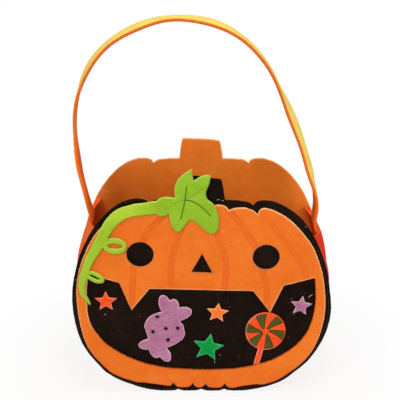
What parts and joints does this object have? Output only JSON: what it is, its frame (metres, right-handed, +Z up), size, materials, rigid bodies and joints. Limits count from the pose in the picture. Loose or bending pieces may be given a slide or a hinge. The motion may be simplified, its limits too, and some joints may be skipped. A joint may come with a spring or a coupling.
{
  "type": "felt halloween basket",
  "caption": "Flat-fronted pumpkin-shaped felt bag with a die-cut grinning face, appliqued sweets and stars, a leaf with a curling vine, and an arched felt strap handle.",
  "frame": {"origin": "middle of the box's underside, on the surface that the bag stands on", "axes": "-Y is the face's side, +Z is up, +X is to the right of someone who looks at the face"},
  "size_m": [0.224, 0.0992, 0.3247],
  "materials": {
    "black_felt": "matt felt",
    "orange_felt": "matt felt",
    "light_orange_felt": "matt felt",
    "strap_orange_felt": "matt felt",
    "red_orange_felt": "matt felt",
    "green_felt": "matt felt",
    "purple_felt": "matt felt",
    "lime_felt": "matt felt"
  },
  "bodies": {
    "bag": {"front_panel": "black_felt", "back_panel": "orange_felt", "gusset": "orange_felt", "face_overlay": "orange_felt", "leaf_and_vine": "lime_felt", "candy_applique": "purple_felt", "lollipop": "red_orange_felt", "star_red": "red_orange_felt", "star_orange": "light_orange_felt", "star_green": "green_felt", "star_purple": "purple_felt", "handle_tab_left": "strap_orange_felt", "handle_tab_right": "strap_orange_felt"},
    "handle": {"handle_strap": "strap_orange_felt"}
  },
  "joints": [
    {"name": "handle_swing", "type": "hinge", "parent": "bag", "child": "handle", "pos_m": [0, 0.0018, 0.1563], "axis": [1, 0, 0], "range_deg": [-65, 65], "stiffness_Nm_per_rad": 0.05}
  ]
}
